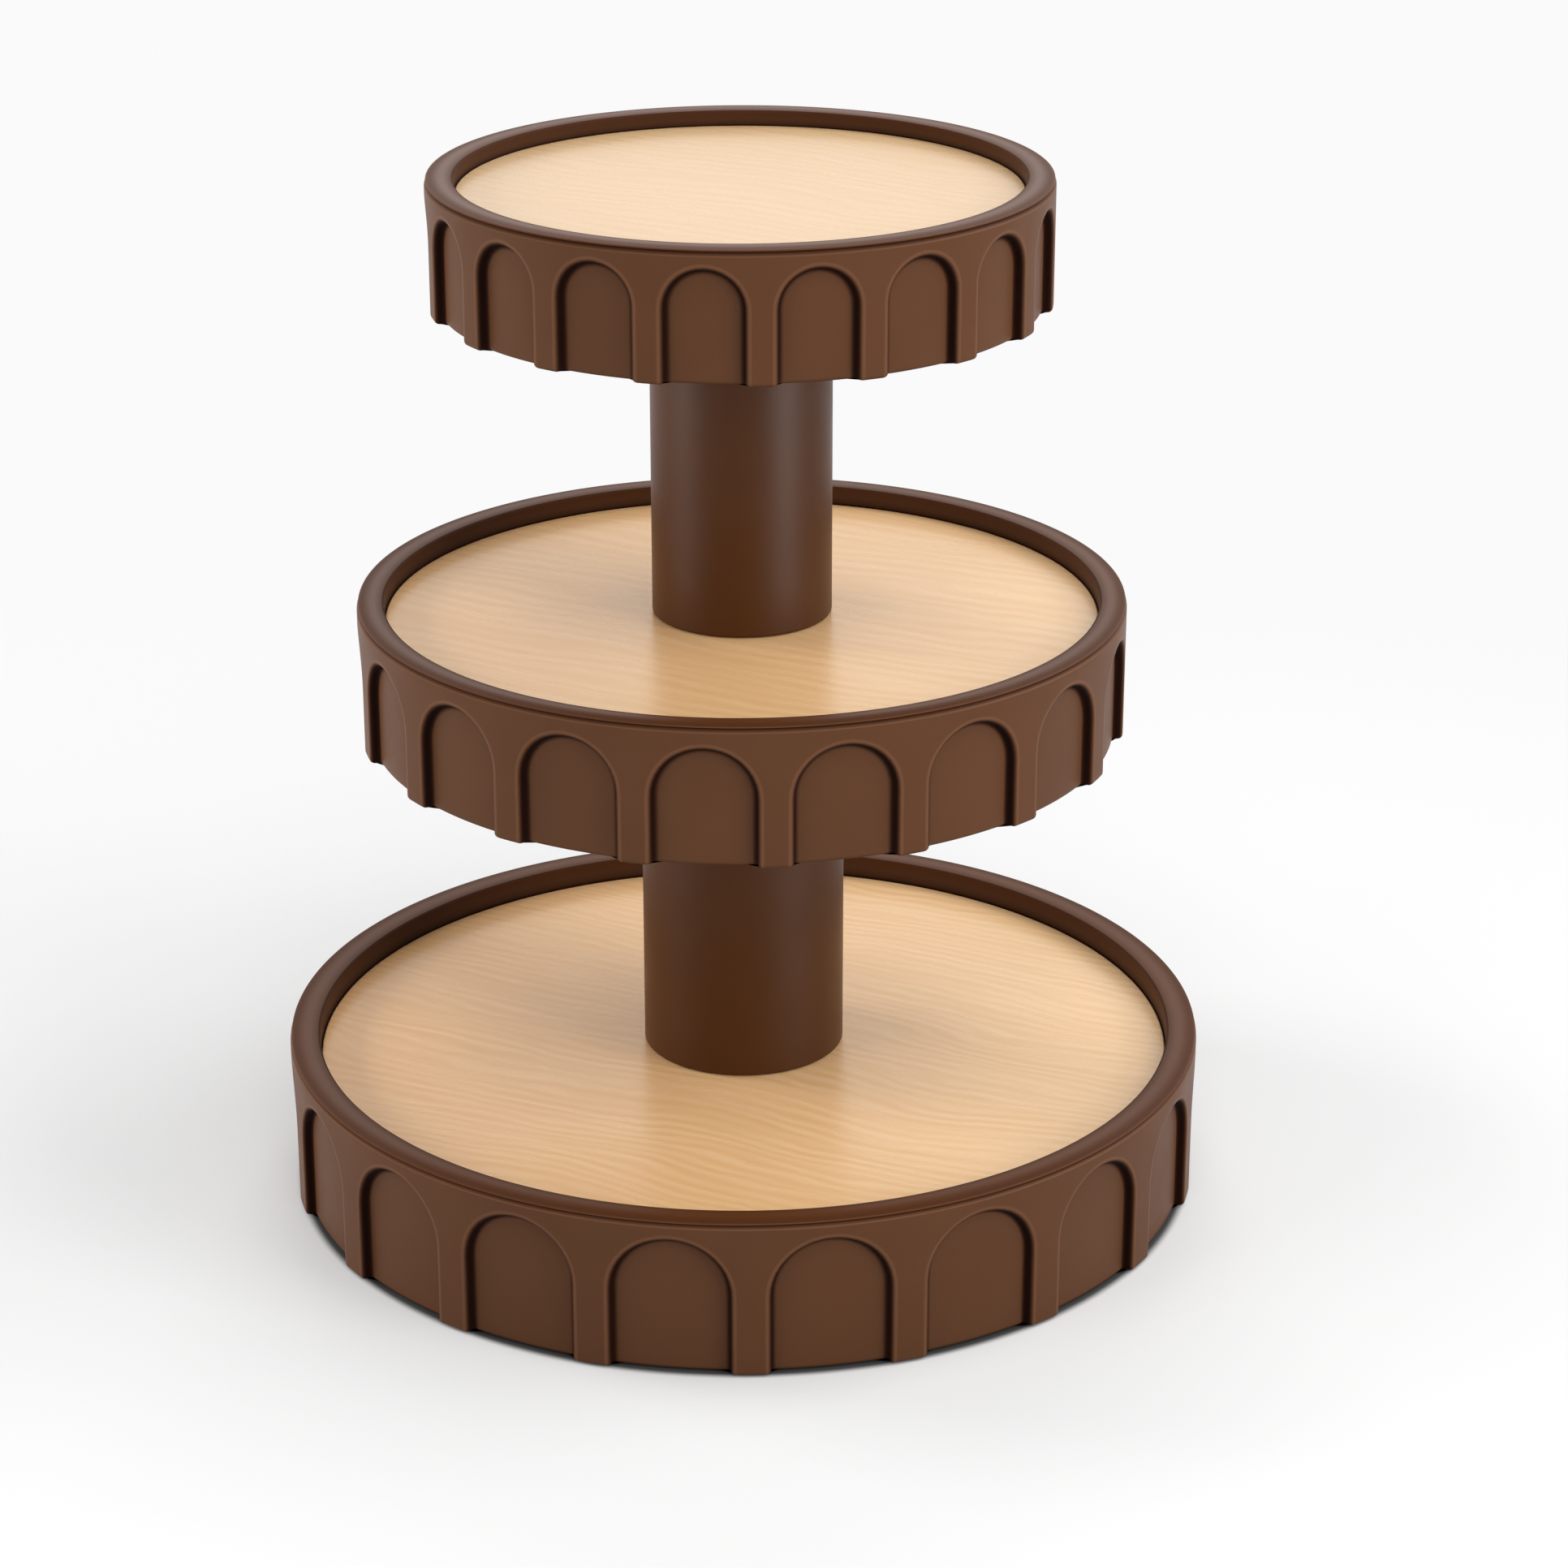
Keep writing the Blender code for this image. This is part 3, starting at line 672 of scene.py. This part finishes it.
def rubber(name):
    """Matt dark rubber with a pebbled skin."""
    material, tree, shader = shader_of(name)
    flow = coordinates(tree)
    grain = noise(tree, flow, scale=900, detail=3, roughness=0.6)
    paint = mix_colour(tree, grain, (0.030, 0.029, 0.028), (0.052, 0.050, 0.048))
    tree.links.new(paint, shader.inputs["Base Color"])
    tree.links.new(remap(tree, grain, 0.72, 0.86), shader.inputs["Roughness"])
    shader.inputs["Specular IOR Level"].default_value = 0.3
    add_bump(tree, shader, grain, strength=0.4, distance=0.0003)
    return material


# On the rings the near-black colour is painted shade and the lighter brown is a painted highlight
RING_BROWN = plastic("ring_plastic_satin", colour=(0.080, 0.0318, 0.0132), dark=(0.074, 0.0290, 0.0118),
                     rough=0.45, level=0.115, painted_shade=(0.0095, 0.0016, 0.0001), painted_highlight=(0.130, 0.056, 0.0275),
                     lip=(0.088, 0.0290, 0.0090), lip_rough=0.37)
COLUMN_BROWN = plastic("column_plastic_satin", colour=(0.052, 0.0146, 0.0009), dark=(0.047, 0.0130, 0.0006),
                       rough=0.42, level=0.20)
FLOOR_BROWN = plastic("floor_plastic_matt", colour=(0.108, 0.040, 0.018), dark=(0.096, 0.034, 0.015),
                      rough=0.50, level=0.25)
STEEL = metal("zinc_steel")
RUBBER = rubber("pad_rubber_matt")
# The lower boards are given lighter colours than the top one, painted light that makes up for the shade of
# the trays above them
WOODS = {
    "base": wood("base_wood", colour=(0.735, 0.480, 0.252), left=(1.0, 0.885, 0.755), grain_degrees=-25,
                 lines_per_metre=205, strength=0.10, shift=(0.3, 0.1, 0)),
    "middle": wood("middle_wood", colour=(0.748, 0.484, 0.250), left=(1.0, 0.905, 0.79), grain_degrees=-28,
                   lines_per_metre=150, strength=0.078, shift=(0.7, 0.5, 0)),
    "top": wood("top_wood", colour=(0.672, 0.445, 0.235), left=(1.0, 1.0, 1.0), grain_degrees=-31,
                lines_per_metre=160, strength=0.053, shift=(1.3, 0.9, 0)),
}


# Pieces


def dress(item, material, body, node):
    item.data.materials.clear()
    item.data.materials.append(material)
    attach(item, body)
    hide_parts(node)


def make_ring(name):
    ring = new_object(f"{name}_ring_moulding", RingShape(name).mesh())
    weigh_normals(ring)
    dress(ring, RING_BROWN, "stand", f"{name}_ring")


def make_board(name):
    """Disc with rounded edges; the top one is whole, and the others have a hole for a column's spigot."""
    whole = name == "top"
    low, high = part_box(f"{name}_board")
    outer = RINGS[name].radius - RINGS[name].lip_width - BOARD_CLEARANCE
    inner = 0 if whole else SPIGOT_RADIUS + SPIGOT_CLEARANCE
    profile = [(inner, low.z)]
    profile += arc((outer - BOARD_EDGE, low.z + BOARD_EDGE), BOARD_EDGE, -90, 0, LOWER_EDGE_STEPS)
    profile += arc((outer - BOARD_EDGE, high.z - BOARD_EDGE), BOARD_EDGE, 0, 90, EDGE_STEPS)
    profile += [(outer / 2, high.z), (inner, high.z)]
    board = new_object(f"{name}_board_wood", turned(f"{name}_board_wood", profile, closed=not whole))
    weigh_normals(board)
    dress(board, WOODS[name], "lift_out_board" if whole else "stand", f"{name}_board")


def make_column(name):
    low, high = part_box(f"{name}_column")
    outer = high.x
    inner = outer - COLUMN_WALL
    profile = [(inner, low.z)]
    profile += arc((outer - COLUMN_EDGE, low.z + COLUMN_EDGE), COLUMN_EDGE, -90, 0, EDGE_STEPS)
    profile += [(outer, (low.z + high.z) / 2)]
    profile += arc((outer - COLUMN_EDGE, high.z - COLUMN_EDGE), COLUMN_EDGE, 0, 90, EDGE_STEPS)
    profile += [(inner, high.z)]
    column = new_object(f"{name}_column_tube", turned(f"{name}_column_tube", profile))
    weigh_normals(column)
    dress(column, COLUMN_BROWN, "stand", f"{name}_column")


def keep(node, material):
    """A carried-over solid with its own finish."""
    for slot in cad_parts[node].material_slots:
        slot.material = material


for name in RINGS:
    make_ring(name)
for name in RINGS:
    make_board(name)
for name in COLUMNS:
    make_column(name)
for name in RINGS:
    keep(f"{name}_floor", FLOOR_BROWN)
for name in COLUMNS:
    keep(f"{name}_column_plug", COLUMN_BROWN)
for node in ("tie_rod", "lower_nut", "upper_nut", "lower_washer", "upper_washer"):
    keep(node, STEEL)
for index in range(PAD_COUNT):
    keep(f"foot_pad_{index + 1}", RUBBER)


# Stage, lights and camera

BACKGROUND = 0.955
FILL = 0.206

FLOOR_HALF = 9.0
# The floor's changes with distance from the axis: where each starts and ends, and the value before and after;
# near the stand's foot the ground colour and the glow drop, a painted contact shadow
BOUNCE_CHANGE = (0.14, 0.26, 0.45, 0.82)
GROUND_AND_PAINTED_SHADOW = (0.1468, 0.1502, 0.066, 0.66)
GLOW_AND_PAINTED_SHADOW = (0.1470, 0.1506, 0.0, 0.125)
FAR_CHANGE = (0.30, 0.75, 0.0, 1.0)

# Softboxes round the stand: azimuth from the camera's side towards the right, elevation, watts
SOFTBOX_SIZE = 0.9
SOFTBOX_DISTANCE = 2.0
SOFTBOX_AIM = Vector((0, 0, 0.15))
LOW_ELEVATION = 20
SOFTBOXES = (
    (-110, 12, 29.0),
    (-80, 12, 7.2),
    (-55, 12, 13.6),
    (55, 12, 27.0),
    (0, 32, 2.3),
    (25, 32, 4.6),
    (80, 32, 7.8),
    (110, 32, 5.8),
    (180, 32, 2.0),
    (0, 55, 6.7),
    (55, 55, 2.6),
    (110, 55, 6.0),
    (180, 55, 7.7),
)
# Low ones that only the columns' gloss shows, as a soft band on each side: azimuth, elevation, watts
BAND_SOFTBOXES = (
    (56, 4, 60.0),
    (-74, 4, 34.0),
)

# The camera's place, how far it dips and turns, and its lens in millimetres
CAMERA_PLACE = (0.0, -1.23187, 0.62434)
CAMERA_DIP_DEGREES = 21.686
CAMERA_TURN_DEGREES = -0.623
LENS = 93.53
SENSOR = 36.0
CLIP_START = 0.05
CLIP_END = 60.0


def is_seen(tree):
    """1 for what the camera sees, straight, mirrored or through glass."""
    path = tree.nodes.new("ShaderNodeLightPath")
    total = path.outputs["Is Camera Ray"]
    for name in ("Is Glossy Ray", "Is Transmission Ray"):
        node = tree.nodes.new("ShaderNodeMath")
        node.operation = "MAXIMUM"
        tree.links.new(total, node.inputs[0])
        tree.links.new(path.outputs[name], node.inputs[1])
        total = node.outputs[0]
    return total


def mix_shaders(tree, factor, first, second):
    node = tree.nodes.new("ShaderNodeMixShader")
    tree.links.new(factor, node.inputs[0])
    tree.links.new(first.outputs[0], node.inputs[1])
    tree.links.new(second.outputs[0], node.inputs[2])
    return node


def floor_material():
    """White floor: a painted contact shadow at the stand's foot, a light ground, and plain white far off."""
    material = bpy.data.materials.new("floor_white")
    material.use_nodes = True
    tree = material.node_tree
    tree.nodes.clear()
    source = tree.nodes.new("ShaderNodeTexCoord")
    length = tree.nodes.new("ShaderNodeVectorMath")
    length.operation = "LENGTH"
    tree.links.new(source.outputs["Object"], length.inputs[0])

    def change(start, end, before, after):
        return remap(tree, length.outputs["Value"], before, after, start, end, "SMOOTHSTEP")

    bounce = tree.nodes.new("ShaderNodeBsdfDiffuse")
    tree.links.new(change(*BOUNCE_CHANGE), bounce.inputs["Color"])
    ground = tree.nodes.new("ShaderNodeBsdfDiffuse")
    tree.links.new(change(*GROUND_AND_PAINTED_SHADOW), ground.inputs["Color"])
    glow = tree.nodes.new("ShaderNodeEmission")
    tree.links.new(change(*GLOW_AND_PAINTED_SHADOW), glow.inputs["Strength"])
    near = tree.nodes.new("ShaderNodeAddShader")
    tree.links.new(ground.outputs[0], near.inputs[0])
    tree.links.new(glow.outputs[0], near.inputs[1])
    far = tree.nodes.new("ShaderNodeEmission")
    far.inputs["Strength"].default_value = BACKGROUND
    shown = mix_shaders(tree, change(*FAR_CHANGE), near, far)
    final = mix_shaders(tree, is_seen(tree), bounce, shown)
    out = tree.nodes.new("ShaderNodeOutputMaterial")
    tree.links.new(final.outputs[0], out.inputs[0])
    return material


def make_floor():
    half = FLOOR_HALF
    corners = [(-half, -half, 0), (half, -half, 0), (half, half, 0), (-half, half, 0)]
    mesh = bpy.data.meshes.new("floor")
    mesh.from_pydata(corners, [], [(0, 1, 2, 3)])
    mesh.materials.append(floor_material())
    floor = new_object("floor", mesh)


def white_background(tree, strength):
    node = tree.nodes.new("ShaderNodeBackground")
    node.inputs["Color"].default_value = (1.0, 1.0, 1.0, 1)
    node.inputs["Strength"].default_value = strength
    return node


def make_world():
    world = bpy.data.worlds.new("studio")
    bpy.context.scene.world = world
    world.use_nodes = True
    tree = world.node_tree
    tree.nodes.clear()
    fill = white_background(tree, FILL)
    shown = white_background(tree, BACKGROUND)
    final = mix_shaders(tree, is_seen(tree), fill, shown)
    out = tree.nodes.new("ShaderNodeOutputWorld")
    tree.links.new(final.outputs[0], out.inputs[0])


def add_softbox(azimuth, elevation, power):
    """Square lamp that faces the stand: azimuth 0 is behind the camera and 90 to the right.

    The low ones don't show in the gloss, where they would burn out the boards in a flat view.
    """
    name = f"softbox_{azimuth}_{elevation}".replace("-", "left_")
    light = bpy.data.lights.new(name, "AREA")
    light.shape = "SQUARE"
    light.size = SOFTBOX_SIZE
    light.energy = power
    item = new_object(name, light)
    turn, rise = math.radians(azimuth), math.radians(elevation)
    away = Vector((math.sin(turn) * math.cos(rise), -math.cos(turn) * math.cos(rise), math.sin(rise)))
    item.location = SOFTBOX_AIM + away * SOFTBOX_DISTANCE
    item.rotation_euler = (-away).to_track_quat("-Z", "Y").to_euler()
    item.visible_glossy = elevation > LOW_ELEVATION
    return item


def add_bands():
    """Softboxes for the gloss of the columns alone."""
    columns = bpy.data.collections.new("columns")
    for name in COLUMNS:
        columns.objects.link(bpy.data.objects[f"{name}_column_tube"])
    for azimuth, elevation, power in BAND_SOFTBOXES:
        item = add_softbox(azimuth, elevation, power)
        item.visible_diffuse = False
        item.visible_glossy = True
        item.light_linking.receiver_collection = columns


def make_camera():
    camera = bpy.data.cameras.new("camera")
    camera.lens = LENS
    camera.sensor_width = SENSOR
    camera.sensor_height = SENSOR
    camera.sensor_fit = "HORIZONTAL"
    camera.clip_start = CLIP_START
    camera.clip_end = CLIP_END
    item = new_object("camera", camera)
    item.location = CAMERA_PLACE
    tilt = math.radians(90 - CAMERA_DIP_DEGREES)
    item.rotation_euler = Euler((tilt, 0, math.radians(CAMERA_TURN_DEGREES)))
    bpy.context.scene.camera = item


make_floor()
make_world()
for azimuth, elevation, power in SOFTBOXES:
    add_softbox(azimuth, elevation, power)
add_bands()
make_camera()
bpy.context.scene.view_settings.view_transform = "Standard"
